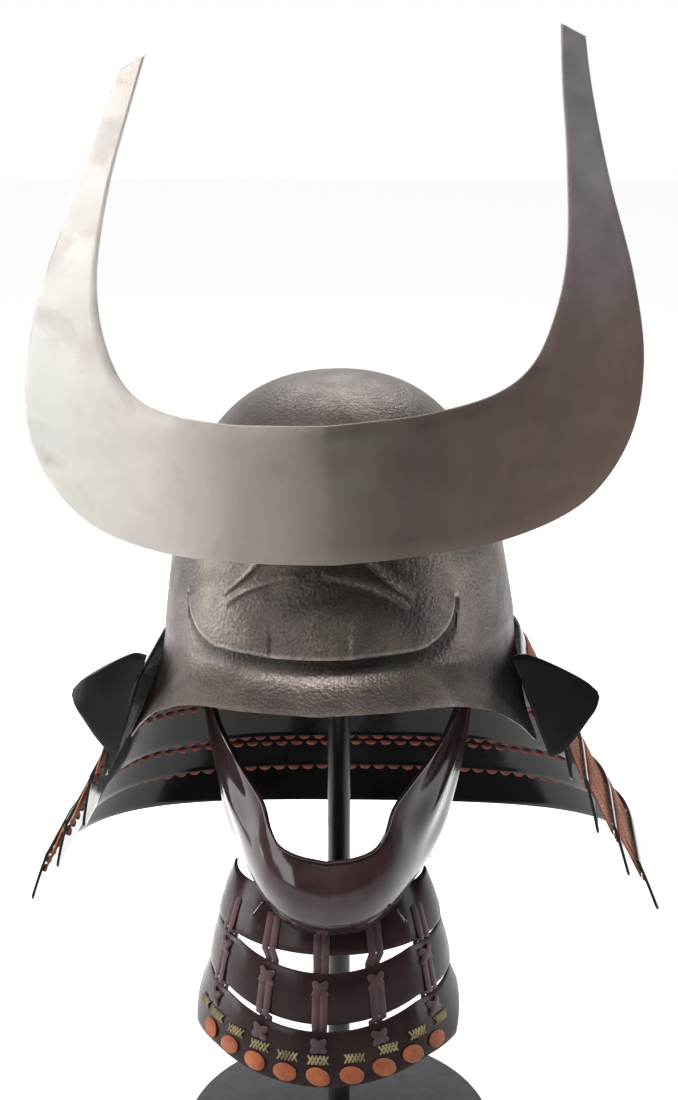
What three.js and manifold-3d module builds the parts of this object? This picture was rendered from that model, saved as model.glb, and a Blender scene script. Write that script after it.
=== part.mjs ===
// A kabuto samurai helmet with its half mask and throat guard, on a display stand.
// Millimetres, +Z up. X runs across the helmet, -Y is its front. The origin is the middle
// of the underside of the stand's base.

import * as THREE from 'three';
import { mergeVertices } from 'three/addons/utils/BufferGeometryUtils.js';
import Module from 'manifold-3d';

const wasm = await Module();
wasm.setup();

// ---------------------------------------------------------------- driving dimensions

const GAP = 0.3; // clearance between neighbouring pieces
const PLATE = 2; // thickness of every iron and lacquered plate
const DEGREE = Math.PI / 180;

// How the pieces sit on the stand: the helmet tips sideways about a point inside it, and the
// crest, mask and throat guard each hang a little off the middle.
const seat = { helmetTip: 1.7 * DEGREE, tipZ: 420, crestX: 11, maskX: 1.5, throatX: -2.5 };

const stand = { baseRadius: 115, baseHeight: 8, baseBevel: 2, postRadius: 8 };
// The padded head on the post, as radius and height pairs.
const standHead = [[0, 0], [34, 0], [30.6, 8.8], [18.7, 14.4], [0, 16]];

// The bowl: level rings of the dome from the crown down, then the rim. The reaches are the
// rim's distances from the crown to the brow, the nape and the sides; the drops are how far
// the inner face lies below the outer one, over the crown and down the wall.
const bowl = {
  columns: 56, crownY: 4, reliefSink: 1.2, browReach: 154, napeReach: 127, sideReach: 124,
  crownRings: 4, crownDrop: PLATE, wallDrop: 0.8, rimSteps: 8,
};
const bowlRings = [
  { z: 582, halfWidth: 16, front: 17, rear: 19 },
  { z: 578, halfWidth: 38, front: 41, rear: 43 },
  { z: 568, halfWidth: 59, front: 65, rear: 67 },
  { z: 552, halfWidth: 77, front: 84, rear: 87 },
  { z: 528, halfWidth: 94, front: 103, rear: 105 },
  { z: 498, halfWidth: 105, front: 114, rear: 116 },
  { z: 465, halfWidth: 112, front: 121, rear: 122 },
  { z: 440, halfWidth: 116, front: 125, rear: 125 },
  { z: 420, halfWidth: 119, front: 128, rear: 127 },
];
// The rim of the right half, from the middle of the brow back to the nape.
const bowlRim = [
  { x: 0, y: -150, z: 402 },
  { x: 45, y: -144, z: 403 },
  { x: 80, y: -129, z: 401 },
  { x: 106, y: -110, z: 390 },
  { x: 123, y: -92, z: 373 },
  { x: 133, y: -80, z: 359 },
  { x: 127, y: -62, z: 373 },
  { x: 123, y: -32, z: 385 },
  { x: 120, y: 10, z: 387 },
  { x: 103, y: 70, z: 380 },
  { x: 60, y: 114, z: 374 },
  { x: 0, y: 131, z: 372 },
];
const brow = { flareRows: [0.4, 0.75], flareCurve: 1.7 };

// The raised forehead ledge and the double ridges of the eyebrows, embossed in the bowl.
const ledge = {
  halfWidth: 84, lipZ: 431, lipThickness: 2, cornerRadius: 26, rise: 8, endRise: 3, topZ: 484, columns: 24,
};
const browRidges = { width: 5, rise: 3.4, steps: 8, baseShare: 0.35, taper: 0.12, leastSwell: 0.25 };
const browRidgeLines = [
  { tipX: 59, tipZ: 464, midX: 46, midZ: 474, endX: 22, endZ: 500 },
  { tipX: 56, tipZ: 459, midX: 40, midZ: 475, endX: 9, endZ: 480 },
];

// The crest: one flat sheet, half of its outline from the middle to the tip of a horn.
const crest = { y: -150, sweep: 0.12, turnZ: 540, roll: 2.4, bend: 29, bendSpan: 254, stepsPerRow: 3 };
const crestSections = [
  { innerX: 0, innerZ: 582, outerX: 0, outerZ: 498 },
  { innerX: 30, innerZ: 583, outerX: 50, outerZ: 500 },
  { innerX: 60, innerZ: 585, outerX: 104, outerZ: 507 },
  { innerX: 96, innerZ: 593, outerX: 148, outerZ: 526 },
  { innerX: 118, innerZ: 609, outerX: 174, outerZ: 561 },
  { innerX: 130, innerZ: 640, outerX: 181, outerZ: 605 },
  { innerX: 133, innerZ: 675, outerX: 172, outerZ: 655 },
  { innerX: 127, innerZ: 723, outerX: 152, outerZ: 711 },
  { innerX: 118, innerZ: 765, outerX: 135, outerZ: 760 },
  { innerX: 112, innerZ: 794, outerX: 127, outerZ: 786 },
];
const crestHolder = { halfWidth: 11, lowZ: 528, highZ: 546 };

// The neck guard: five lames from the bowl's rim down. Side values hold at the front ends,
// rear values at the nape; each lame lies outside the one above it.
const neck = { columns: 20, sideColumns: 7, cornerRadius: 6, squareness: 2.25, dip: 2 };
const neckLames = [
  {
    bottomZ: 352, height: 52, width: 142, lean: 18, frontY: -86,
    rear: 143.4, rearZ: 333, rearHeight: 48, rearLean: 9,
  },
  {
    bottomZ: 320, height: 42, width: 158, lean: 9, frontY: -62,
    rear: 155, rearZ: 294, rearHeight: 42, rearLean: 6,
  },
  {
    bottomZ: 281, height: 42, width: 176, lean: 9, frontY: -62,
    rear: 165, rearZ: 256, rearHeight: 42, rearLean: 6,
  },
  {
    bottomZ: 250, height: 39, width: 197, lean: 11, frontY: -62,
    rear: 176, rearZ: 225, rearHeight: 39, rearLean: 6,
  },
  {
    bottomZ: 225, height: 39, width: 217, lean: 15, frontY: -62,
    rear: 188, rearZ: 188, rearHeight: 41, rearLean: 8,
  },
];
const neckLacing = { thickness: 1.6, topShare: 0.72, tuck: 4, clear: 0.7, spread: 0.995 };

// The turn-back: the wing that each front end of the first lame folds out into.
const turnBack = { slant: 23 * DEGREE };
const turnBackSections = [
  { out: 4, lowZ: 349, highZ: 418 },
  { out: 9, lowZ: 351, highZ: 418 },
  { out: 19, lowZ: 358, highZ: 413 },
  { out: 32, lowZ: 368, highZ: 404 },
  { out: 43, lowZ: 376, highZ: 394 },
  { out: 48, lowZ: 381, highZ: 388 },
];

// The half mask, from the middle of the chin up to the top of the cheek: its upper rim, its
// lower edge and how far the plate swells between them.
const mask = { rows: 6, stepsPerRow: 2, throatY: -20 };
const maskSections = [
  { rimX: 0, rimY: -112, rimZ: 284, edgeX: 0, edgeY: -108, edgeZ: 229, bulge: 24 },
  { rimX: 18, rimY: -111, rimZ: 287, edgeX: 22, edgeY: -103, edgeZ: 231, bulge: 24 },
  { rimX: 31, rimY: -107, rimZ: 292, edgeX: 40, edgeY: -91, edgeZ: 239, bulge: 22 },
  { rimX: 38, rimY: -102, rimZ: 302, edgeX: 54, edgeY: -74, edgeZ: 253, bulge: 20 },
  { rimX: 43, rimY: -97, rimZ: 318, edgeX: 65, edgeY: -57, edgeZ: 264, bulge: 18 },
  { rimX: 54, rimY: -89, rimZ: 333, edgeX: 74, edgeY: -43, edgeZ: 279, bulge: 15 },
  { rimX: 65, rimY: -79, rimZ: 346, edgeX: 79, edgeY: -33, edgeZ: 296, bulge: 12 },
  { rimX: 76, rimY: -66, rimZ: 362, edgeX: 85, edgeY: -28, edgeZ: 325, bulge: 9 },
  { rimX: 84, rimY: -52, rimZ: 382, edgeX: 89, edgeY: -28, edgeZ: 362, bulge: 6 },
  { rimX: 86, rimY: -45, rimZ: 394, edgeX: 89, edgeY: -32, edgeZ: 389, bulge: 3 },
];
const maskPeg = { radius: 1.7, length: 12, x: 47.9, y: -91.2, z: 238.1, pitch: 50, turn: 35 };
const maskHanger = { halfWidth: 7, thickness: 5, postZ: 221, chinZ: 264, chinY: -117 };

// The throat guard: three lames, arcs round the throat that flare outwards. The ends of the
// lower two are lifted, fully from a share of the half width outwards.
const throat = { columns: 22, spread: 90 * DEGREE, liftedFrom: 0.75 };
const throatLames = [
  {
    topZ: 249, bottomZ: 213, topWidth: 66, bottomWidth: 78, endY: -40,
    topFront: -91, bottomFront: -105, lift: 0,
  },
  {
    topZ: 203, bottomZ: 169, topWidth: 77, bottomWidth: 85, endY: -40,
    topFront: -111, bottomFront: -119, lift: 9,
  },
  {
    topZ: 167, bottomZ: 130, topWidth: 84, bottomWidth: 97, endY: -41,
    topFront: -124, bottomFront: -132, lift: 9,
  },
];
const throatLaces = {
  angles: [-58, -27, 0, 27, 58], width: 13, thickness: 1.3, above: 14.5, tuck: 11, clear: 0.75,
};
const buttonClear = 0.5;
const rounds = { halfCount: 4, step: 13.5, z: 138, width: 14.5, height: 10.5, thickness: 3.4 };
const knots = {
  left: 5, right: 4, leftStep: 13, rightStep: 15, z: 149, width: 13, height: 6.5, thickness: 2.6,
};

// ------------------------------------------------------------------------- materials

const finish = (color, roughness, metalness) =>
  new THREE.MeshStandardMaterial({ color, roughness, metalness, side: THREE.DoubleSide });
const finishes = {
  hammeredIron: finish(0x5b5048, 0.45, 0.8),
  patinatedCrest: finish(0x7d6a5c, 0.35, 0.9),
  blackLacquer: finish(0x0c0b0c, 0.12, 0),
  brownLacquer: finish(0x35201f, 0.15, 0),
  orangeSilk: finish(0xb4532a, 0.8, 0),
  maroonSilk: finish(0x3c2124, 0.85, 0),
  goldThread: finish(0x8f7c4a, 0.6, 0.2),
  standBlack: finish(0x101112, 0.35, 0),
  standGrey: finish(0x46484b, 0.5, 0.2),
};

// ------------------------------------------------------------------- geometry helpers

const lerp = THREE.MathUtils.lerp;
const vector = (x, y, z) => new THREE.Vector3(x, y, z);

// Joins closed loops of points, in order, into one closed solid with fanned end caps.
function loft(loops) {
  const count = loops[0].length;
  const positions = [];
  const triangles = [];
  loops.forEach((loop) => loop.forEach((p) => positions.push(p.x, p.y, p.z)));
  for (let ring = 0; ring + 1 < loops.length; ring++) {
    for (let i = 0; i < count; i++) {
      const a = ring * count + i;
      const b = ring * count + ((i + 1) % count);
      triangles.push(a, b, b + count, a, b + count, a + count);
    }
  }
  const cap = (loop, start, flip) => {
    const middle = loop.reduce((sum, p) => sum.add(p), vector(0, 0, 0)).divideScalar(count);
    const hub = positions.length / 3;
    positions.push(middle.x, middle.y, middle.z);
    for (let i = 0; i < count; i++) {
      const pair = [start + i, start + ((i + 1) % count)];
      if (flip) pair.reverse();
      triangles.push(hub, pair[1], pair[0]);
    }
  };
  cap(loops[0], 0, false);
  cap(loops[loops.length - 1], (loops.length - 1) * count, true);
  const geometry = new THREE.BufferGeometry();
  geometry.setAttribute('position', new THREE.Float32BufferAttribute(positions, 3));
  geometry.setIndex(triangles);
  return outward(geometry);
}

// Turns a closed geometry's faces outwards, by the sign of its volume.
function outward(geometry) {
  const index = geometry.index.array;
  const position = geometry.attributes.position;
  const [a, b, c] = [vector(), vector(), vector()];
  let volume = 0;
  for (let i = 0; i < index.length; i += 3) {
    a.fromBufferAttribute(position, index[i]);
    b.fromBufferAttribute(position, index[i + 1]);
    c.fromBufferAttribute(position, index[i + 2]);
    volume += a.dot(b.cross(c));
  }
  if (volume < 0) {
    for (let i = 0; i < index.length; i += 3) [index[i + 1], index[i + 2]] = [index[i + 2], index[i + 1]];
  }
  return geometry;
}

// A three.js geometry with only its positions, each shared vertex held once.
function welded(geometry) {
  const bare = geometry.clone();
  bare.deleteAttribute('normal');
  bare.deleteAttribute('uv');
  return mergeVertices(bare, 1e-4);
}

function toManifold(geometry) {
  const bare = welded(geometry);
  return new wasm.Manifold(
    new wasm.Mesh({
      numProp: 3,
      vertProperties: new Float32Array(bare.attributes.position.array),
      triVerts: new Uint32Array(bare.index.array),
    }),
  );
}

// The union of overlapping geometries, as one geometry.
function fused(geometries) {
  const solid = geometries.map(toManifold).reduce((sum, next) => sum.add(next));
  const result = solid.getMesh();
  const geometry = new THREE.BufferGeometry();
  geometry.setAttribute('position', new THREE.Float32BufferAttribute(result.vertProperties, 3));
  geometry.setIndex([...result.triVerts]);
  return geometry;
}

// A smooth curve through table rows, read at evenly spaced places between them.
function smoothRows(rows, keys, stepsPerRow) {
  const points = [];
  const spans = rows.length - 1;
  for (let step = 0; step <= spans * stepsPerRow; step++) {
    const at = step / stepsPerRow;
    const i = Math.min(Math.floor(at), spans - 1);
    const t = at - i;
    const point = {};
    for (const key of keys) {
      const p1 = rows[i][key];
      const p2 = rows[i + 1][key];
      const p0 = i > 0 ? rows[i - 1][key] : 2 * p1 - p2;
      const p3 = i + 2 <= spans ? rows[i + 2][key] : 2 * p2 - p1;
      point[key] = 0.5 * (2 * p1 + (p2 - p0) * t + (2 * p0 - 5 * p1 + 4 * p2 - p3) * t * t
        + (3 * p1 - p0 - 3 * p2 + p3) * t * t * t);
    }
    points.push(point);
  }
  return points;
}

const group = new THREE.Group();
function nested(parent, x, z) {
  const part = new THREE.Group();
  part.position.set(x, 0, z);
  parent.add(part);
  return part;
}
const tipped = nested(group, 0, seat.tipZ);
tipped.rotation.y = -seat.helmetTip;
const helmetGroup = nested(tipped, 0, -seat.tipZ);
const crestGroup = nested(helmetGroup, seat.crestX, 0);
const maskGroup = nested(group, seat.maskX, 0);
const throatGroup = nested(group, seat.throatX, 0);
function add(name, geometry, material, parent = group) {
  const mesh = new THREE.Mesh(geometry, material);
  mesh.name = name;
  parent.add(mesh);
  return mesh;
}

// ------------------------------------------------------------------------------ bowl

// One of the dome's level rings at any height, between the table's rows.
function ringAt(z) {
  const upper = bowlRings.findLastIndex((ring) => ring.z >= z);
  const i = Math.min(Math.max(upper, 0), bowlRings.length - 2);
  const [a, b] = [bowlRings[i], bowlRings[i + 1]];
  const t = (a.z - z) / (a.z - b.z);
  return { halfWidth: lerp(a.halfWidth, b.halfWidth, t), front: lerp(a.front, b.front, t) };
}

// The outer face of the bowl's front, at a distance across and a height.
function bowlFrontY(x, z) {
  const ring = ringAt(z);
  return bowl.crownY - ring.front * Math.sqrt(Math.max(0, 1 - (x / ring.halfWidth) ** 2));
}

function bowlRimLoop() {
  const halfColumns = bowl.columns / 2;
  const curve = smoothRows(bowlRim, ['x', 'y', 'z'], bowl.rimSteps);
  const right = [];
  for (let i = 0; i <= halfColumns; i++) {
    right.push(curve[Math.round((i / halfColumns) * (curve.length - 1))]);
  }
  const left = right.slice(1, -1).reverse().map((p) => ({ ...p, x: -p.x }));
  return [...right, ...left].map((p) => vector(p.x, p.y, p.z));
}

// The same column angles as the rim, on a level ring.
function bowlRingLoop(ring, rim) {
  return rim.map((p) => {
    const reach = p.y < bowl.crownY ? bowl.browReach : bowl.napeReach;
    const turn = Math.atan2(p.x / bowl.sideReach, (bowl.crownY - p.y) / reach);
    const depth = Math.cos(turn) > 0 ? ring.front : ring.rear;
    return vector(ring.halfWidth * Math.sin(turn), bowl.crownY - depth * Math.cos(turn), ring.z);
  });
}

function bowlShell() {
  const rim = bowlRimLoop();
  const outer = bowlRings.map((ring) => bowlRingLoop(ring, rim));
  const wallFoot = outer[outer.length - 1];
  for (const share of brow.flareRows) {
    const out = share ** brow.flareCurve;
    outer.push(wallFoot.map((p, i) => vector(lerp(p.x, rim[i].x, out), lerp(p.y, rim[i].y, out),
      lerp(p.z, rim[i].z, share))));
  }
  outer.push(rim);
  const inward = (p, drop) => {
    const length = Math.hypot(p.x, p.y - bowl.crownY);
    const scale = (length - PLATE) / length;
    return vector(p.x * scale, bowl.crownY + (p.y - bowl.crownY) * scale, p.z - drop);
  };
  const inner = outer.map((loop, level) => {
    const wallDrop = level < bowl.crownRings ? bowl.crownDrop : bowl.wallDrop;
    return loop.map((p) => inward(p, loop === rim ? 0 : wallDrop));
  });
  return loft([...outer, ...inner.reverse()]);
}

// The ledge: a band that rises from the forehead to a lip, and is undercut below it.
function ledgeSolid() {
  const loops = [];
  for (let i = 0; i <= ledge.columns; i++) {
    const share = (2 * i) / ledge.columns - 1;
    const x = ledge.halfWidth * Math.sin(share * 90 * DEGREE);
    const intoCorner = Math.max(0, Math.abs(x) - (ledge.halfWidth - ledge.cornerRadius));
    const lift = ledge.cornerRadius - Math.sqrt(ledge.cornerRadius ** 2 - intoCorner ** 2);
    const lipZ = ledge.lipZ + lift;
    const rise = lerp(ledge.rise, ledge.endRise, (intoCorner / ledge.cornerRadius) ** 2);
    const face = (z, out) => vector(x, bowlFrontY(x, z) - out, z);
    const midZ = lerp(lipZ, ledge.topZ, 0.3);
    const highZ = lerp(lipZ, ledge.topZ, 0.65);
    loops.push([
      face(lipZ - ledge.lipThickness, -bowl.reliefSink),
      face(lipZ, rise),
      face(midZ, rise * 0.85),
      face(highZ, rise * 0.4),
      face(ledge.topZ, -bowl.reliefSink * 0.5),
      face(highZ, -bowl.reliefSink),
    ]);
  }
  return loft(loops);
}

// A narrow ridge along a curve on the forehead, from its outer tip to its inner end.
function ridgeSolid(line, side) {
  const curve = new THREE.QuadraticBezierCurve(
    new THREE.Vector2(line.tipX, line.tipZ),
    new THREE.Vector2(line.midX, line.midZ),
    new THREE.Vector2(line.endX, line.endZ),
  );
  const loops = [];
  for (let i = 0; i <= browRidges.steps; i++) {
    const t = i / browRidges.steps;
    const at = curve.getPoint(t);
    const along = curve.getTangent(t);
    const through = lerp(browRidges.taper, 1 - browRidges.taper, t);
    const swell = Math.max(browRidges.leastSwell, Math.sin(Math.PI * through));
    const rise = browRidges.rise * swell;
    const half = (browRidges.width / 2) * swell;
    const face = (across, out) => {
      const x = side * (at.x - along.y * across);
      const z = at.y + along.x * across;
      return vector(x, bowlFrontY(x, z) - out, z);
    };
    const base = ledge.rise * browRidges.baseShare;
    loops.push([face(-half, -bowl.reliefSink), face(-half * 0.4, base + rise), face(half, -bowl.reliefSink)]);
  }
  return loft(loops);
}

const relief = [ledgeSolid()];
for (const line of browRidgeLines) relief.push(ridgeSolid(line, 1), ridgeSolid(line, -1));
add('bowl', fused([bowlShell(), ...relief]), finishes.hammeredIron, helmetGroup);

// ----------------------------------------------------------------------------- crest

function crestPlate() {
  const keys = ['innerX', 'innerZ', 'outerX', 'outerZ'];
  const right = smoothRows(crestSections, keys, crest.stepsPerRow);
  const left = right.slice(1).reverse().map((p) => ({ ...p, innerX: -p.innerX, outerX: -p.outerX }));
  const turn = crest.roll * DEGREE;
  const place = (x, z, depth) => {
    const up = z - crest.turnZ;
    const rolledX = x * Math.cos(turn) - up * Math.sin(turn);
    const rolledZ = x * Math.sin(turn) + up * Math.cos(turn);
    const bent = crest.bend * Math.max(0, rolledZ / crest.bendSpan) ** 2;
    return vector(rolledX + bent, crest.y + crest.sweep * Math.abs(x) + depth, crest.turnZ + rolledZ);
  };
  return loft([...left, ...right].map((p) => [
    place(p.outerX, p.outerZ, 0),
    place(p.innerX, p.innerZ, 0),
    place(p.innerX, p.innerZ, PLATE),
    place(p.outerX, p.outerZ, PLATE),
  ]));
}
add('crest', crestPlate(), finishes.patinatedCrest, crestGroup);

// The hidden bracket between the bowl's forehead and the back of the crest.
function crestHolderBlock() {
  const { halfWidth, lowZ, highZ } = crestHolder;
  const frontY = crest.y + PLATE + crest.sweep * (halfWidth + seat.crestX) + 2 * GAP;
  const rectangle = (lowY, highY) => [
    vector(-halfWidth, lowY, lowZ),
    vector(halfWidth, lowY, lowZ),
    vector(halfWidth, highY, highZ),
    vector(-halfWidth, highY, highZ),
  ];
  return loft([
    rectangle(frontY, frontY),
    rectangle(bowlFrontY(0, lowZ) - GAP, bowlFrontY(0, highZ) - GAP),
  ]);
}
add('crest_holder', crestHolderBlock(), finishes.hammeredIron, helmetGroup);

// ------------------------------------------------------------------------ neck guard

// A place in plan along a lame: along runs from -1 (left front end) past 0 (the nape) to 1.
function neckPlan(width, rear, frontY, along) {
  const side = Math.sign(along) || 1;
  const far = Math.abs(along);
  const sideShare = neck.sideColumns / (neck.sideColumns + neck.columns / 2);
  if (far > 1 - sideShare) {
    const t = (far - (1 - sideShare)) / sideShare;
    return { x: side * width, y: frontY * t, back: 0 };
  }
  const angle = (far / (1 - sideShare)) * 90 * DEGREE;
  const power = 2 / neck.squareness;
  const y = rear * Math.cos(angle) ** power;
  return { x: side * width * Math.sin(angle) ** power, y, back: (y / rear) ** neck.dip };
}

// A point on a lame's outer face: up runs from 0 at its lower edge to 1 at its upper edge.
function onNeckLame(lame, along, up) {
  const low = neckPlan(lame.width, lame.rear, lame.frontY, along);
  const high = neckPlan(lame.width - lame.lean, lame.rear - lame.rearLean, lame.frontY, along);
  const lowZ = lerp(lame.bottomZ, lame.rearZ, low.back);
  const height = lerp(lame.height, lame.rearHeight, low.back);
  return vector(lerp(low.x, high.x, up), lerp(low.y, high.y, up), lowZ + height * up);
}

// A point off a lame's face, out along its level normal by a distance (inwards if negative).
function offNeckLame(lame, along, up, distance) {
  const step = 0.01;
  const ahead = onNeckLame(lame, Math.min(along + step, 1), up);
  const behind = onNeckLame(lame, Math.max(along - step, -1), up);
  const run = ahead.sub(behind).setZ(0).normalize();
  return onNeckLame(lame, along, up).add(vector(-run.y, run.x, 0).multiplyScalar(distance));
}

// The places of the columns along a lame, closer together at the rounded front corners.
function neckColumns(lame) {
  const last = neck.sideColumns + neck.columns / 2;
  const cornerStep = (neck.sideColumns / last) * (neck.cornerRadius / Math.abs(lame.frontY));
  const right = [];
  for (let i = 0; i < last; i++) right.push(i / last);
  right.push(1 - cornerStep * 0.5, 1 - cornerStep * 0.15, 1);
  const left = right.slice(1).reverse().map((along) => -along);
  return [...left, ...right];
}

// How far up a lame's lower edge starts, near a rounded front corner.
function cornerRise(lame, along) {
  const last = neck.sideColumns + neck.columns / 2;
  const fromEnd = ((1 - Math.abs(along)) * last * Math.abs(lame.frontY)) / neck.sideColumns;
  const into = Math.max(0, neck.cornerRadius - fromEnd);
  return (neck.cornerRadius - Math.sqrt(neck.cornerRadius ** 2 - into ** 2)) / lame.height;
}

function neckLameSolid(lame) {
  return loft(neckColumns(lame).map((along) => {
    const low = cornerRise(lame, along);
    return [
      offNeckLame(lame, along, low, 0),
      offNeckLame(lame, along, 1, 0),
      offNeckLame(lame, along, 1, -PLATE),
      offNeckLame(lame, along, low, -PLATE),
    ];
  }));
}

// The wing at one front end of the first lame, slanting outwards and back from the fold.
function turnBackWing(lame, side) {
  const [run, back] = [Math.cos(turnBack.slant), Math.sin(turnBack.slant)];
  const place = (section, z, depth) => {
    const up = (z - lame.bottomZ) / lame.height;
    const fold = onNeckLame(lame, 1, up);
    return vector(
      side * (fold.x - PLATE + section.out * run - depth * back),
      lame.frontY + section.out * back + depth * run,
      z,
    );
  };
  const root = { ...turnBackSections[0], out: 0 };
  return loft([root, ...turnBackSections].map((section) => [
    place(section, section.lowZ, 0),
    place(section, section.highZ, 0),
    place(section, section.highZ, PLATE),
    place(section, section.lowZ, PLATE),
  ]));
}

neckLames.forEach((lame, i) => {
  const parts = [neckLameSolid(lame)];
  if (i === 0) parts.push(turnBackWing(lame, 1), turnBackWing(lame, -1));
  add(`neck_lame_${i + 1}`, fused(parts), finishes.blackLacquer, helmetGroup);
});

// The close lacing that hangs each lame from the one above: a band from the upper lame's
// outer face down to the inner face of the lame below it.
function neckLacingBand(upper, lower) {
  const { thickness, topShare, tuck, clear, spread } = neckLacing;
  const frame = { ...upper, frontY: Math.max(upper.frontY, lower.frontY) + 1 };
  return loft(neckColumns(frame).map((along) => {
    const low = onNeckLame(upper, along, 0);
    const z = low.z - tuck;
    const lowerLow = onNeckLame(lower, along, 0);
    const lowerHigh = onNeckLame(lower, along, 1);
    const lowerUp = (z - lowerLow.z) / (lowerHigh.z - lowerLow.z);
    return [
      offNeckLame(frame, along, topShare, clear),
      offNeckLame(frame, along, topShare, clear + thickness),
      offNeckLame(lower, along * spread, lowerUp, -PLATE - clear),
      offNeckLame(lower, along * spread, lowerUp, -PLATE - clear - thickness),
    ];
  }));
}
for (let i = 0; i + 1 < neckLames.length; i++) {
  const band = neckLacingBand(neckLames[i], neckLames[i + 1]);
  add(`neck_lacing_${i + 1}`, band, finishes.orangeSilk, helmetGroup);
}

// ------------------------------------------------------------------------- half mask

function maskPlate() {
  const keys = Object.keys(maskSections[0]);
  const right = smoothRows(maskSections, keys, mask.stepsPerRow);
  const left = right.slice(1).reverse().map((p) => ({ ...p, rimX: -p.rimX, edgeX: -p.edgeX }));
  return loft([...left, ...right].map((p) => {
    const rim = vector(p.rimX, p.rimY, p.rimZ);
    const edge = vector(p.edgeX, p.edgeY, p.edgeZ);
    const middle = rim.clone().add(edge).multiplyScalar(0.5);
    const out = vector(middle.x, middle.y - mask.throatY, 0).normalize();
    const crown = middle.clone().addScaledVector(out, p.bulge);
    const curve = new THREE.QuadraticBezierCurve3(rim, crown, edge);
    const face = curve.getPoints(mask.rows);
    const back = face.map((point, i) => {
      const along = curve.getTangent(i / mask.rows);
      const sideways = vector(-out.y, out.x, 0);
      const normal = sideways.cross(along).normalize();
      const inwards = normal.dot(out) > 0 ? -PLATE : PLATE;
      return point.clone().addScaledVector(normal, inwards);
    });
    return [...face, ...back.reverse()];
  }));
}
add('mask', maskPlate(), finishes.brownLacquer, maskGroup);

for (const [name, side] of [['mask_peg_left', -1], ['mask_peg_right', 1]]) {
  const peg = add(name, new THREE.CylinderGeometry(maskPeg.radius, maskPeg.radius, maskPeg.length, 8),
    finishes.brownLacquer, maskGroup);
  peg.position.set(side * maskPeg.x, maskPeg.y, maskPeg.z);
  peg.rotation.set(maskPeg.pitch * DEGREE, 0, side * maskPeg.turn * DEGREE);
}

// The hidden bar that carries the mask, from the stand's post up to the inside of the chin.
function maskHangerBar() {
  const { halfWidth, thickness, postZ, chinZ, chinY } = maskHanger;
  const section = (y, z, half) => [
    vector(-half, y, z),
    vector(half, y, z),
    vector(half, y, z + thickness),
    vector(-half, y, z + thickness),
  ];
  return loft([
    section(-stand.postRadius - GAP, postZ, halfWidth),
    section(chinY, chinZ, halfWidth),
  ]);
}
add('mask_hanger', maskHangerBar(), finishes.standBlack);

// ---------------------------------------------------------------------- throat guard

// A point on a throat lame's outer face: angle from its middle, up from 0 to 1.
function onThroatLame(lame, angle, up, distance = 0) {
  const width = lerp(lame.bottomWidth, lame.topWidth, up);
  const reach = lame.endY - lerp(lame.bottomFront, lame.topFront, up);
  const x = width * Math.sin(angle);
  const y = lame.endY - reach * Math.cos(angle);
  const normal = vector(Math.sin(angle) / width, -Math.cos(angle) / reach, 0).normalize();
  const lifted = lame.lift * Math.min(1, (Math.sin(angle) / throat.liftedFrom) ** 2);
  return vector(x, y, lerp(lame.bottomZ, lame.topZ, up) + lifted).addScaledVector(normal, distance);
}

throatLames.forEach((lame, i) => {
  const loops = [];
  for (let column = 0; column <= throat.columns; column++) {
    const angle = (column / throat.columns - 0.5) * 2 * throat.spread;
    loops.push([
      onThroatLame(lame, angle, 0),
      onThroatLame(lame, angle, 1),
      onThroatLame(lame, angle, 1, -PLATE),
      onThroatLame(lame, angle, 0, -PLATE),
    ]);
  }
  add(`throat_lame_${i + 1}`, loft(loops), finishes.brownLacquer, throatGroup);
});

// A pair of laces as one flat strip: down the upper lame's face and in behind the lower one.
function throatLaceStrip(upper, lower, angle) {
  const { width, thickness, above, tuck, clear } = throatLaces;
  const halfTurn = width / 2 / lerp(upper.bottomWidth, -upper.bottomFront, Math.cos(angle) ** 2);
  const row = (lame, up, near) => [
    onThroatLame(lame, angle - halfTurn, up, near),
    onThroatLame(lame, angle + halfTurn, up, near),
    onThroatLame(lame, angle + halfTurn, up, near + thickness),
    onThroatLame(lame, angle - halfTurn, up, near + thickness),
  ];
  const upperHeight = upper.topZ - upper.bottomZ;
  const lowerHeight = lower.topZ - lower.bottomZ;
  const behind = -PLATE - clear - thickness;
  return loft([
    row(upper, above / upperHeight, clear),
    row(upper, 0, clear),
    row(lower, 1, behind),
    row(lower, 1 - tuck / lowerHeight, behind),
  ]);
}
['upper', 'lower'].forEach((tier, i) => {
  throatLaces.angles.forEach((angle, k) => {
    const strip = throatLaceStrip(throatLames[i], throatLames[i + 1], angle * DEGREE);
    add(`throat_lace_${tier}_${k + 1}`, strip, finishes.maroonSilk, throatGroup);
  });
});

// A small padded button on the lowest throat lame, flattened and turned to face outwards.
function addButton(name, size, angle, material, sides) {
  const lame = throatLames[2];
  const up = (size.z - lame.bottomZ) / (lame.topZ - lame.bottomZ);
  const centre = onThroatLame(lame, angle, up, size.thickness / 2 + buttonClear);
  const out = onThroatLame(lame, angle, up, 1).sub(onThroatLame(lame, angle, up));
  const low = onThroatLame(lame, angle, 0);
  const high = onThroatLame(lame, angle, 1);
  const upwards = high.sub(low).normalize();
  const across = vector(-out.y, out.x, 0).normalize();
  const facing = across.clone().cross(upwards).normalize();
  const geometry = new THREE.SphereGeometry(0.5, sides, 5);
  geometry.scale(size.width, size.height, size.thickness);
  const button = add(name, geometry, material, throatGroup);
  button.quaternion.setFromRotationMatrix(new THREE.Matrix4().makeBasis(across, upwards, facing));
  button.position.copy(centre);
}
for (let k = -rounds.halfCount; k <= rounds.halfCount; k++) {
  const angle = k * rounds.step * DEGREE;
  addButton(`orange_round_${k + rounds.halfCount + 1}`, rounds, angle, finishes.orangeSilk, 10);
}
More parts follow.
